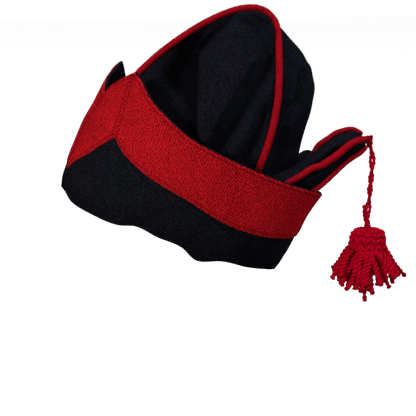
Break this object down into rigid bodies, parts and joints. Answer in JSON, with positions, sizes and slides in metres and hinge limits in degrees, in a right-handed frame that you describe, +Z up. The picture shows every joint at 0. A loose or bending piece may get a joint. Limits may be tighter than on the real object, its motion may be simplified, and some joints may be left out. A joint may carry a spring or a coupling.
{
  "type": "side cap",
  "caption": "Soft dark wool side cap as worn: crown bag in a turned-up band, wide red tape with raised front peaks, red crest piping, and a piped tail with cord and tassel at the back.",
  "frame": {"origin": "middle of the head opening, in the tilted plane of the rim", "axes": "+Z up as worn, the cap's front towards -Y, the wearer's left towards +X; the rim's plane is tilted back by 22.7 degrees"},
  "size_m": [0.1826, 0.303, 0.2629],
  "materials": {
    "band_cloth": "milled wool cloth, matt, nearly black navy",
    "crown_cloth": "milled wool cloth, matt, nearly black navy",
    "tail_cloth": "milled wool cloth, matt, nearly black navy",
    "red_tape": "woven wool tape, matt, deep red",
    "red_piping": "corded piping, matt, deep red",
    "red_wool": "twisted wool yarn, matt, deep red"
  },
  "bodies": {
    "root": {"turn_up": "band_cloth", "band_tape": "red_tape", "crown": "crown_cloth", "crown_piping": "red_piping", "tail": "tail_cloth", "tail_piping_top": "red_piping", "tail_piping_near": "red_piping", "tail_piping_bottom": "red_piping", "tassel_cord": "red_wool", "tassel": "red_wool"}
  },
  "joints": []
}
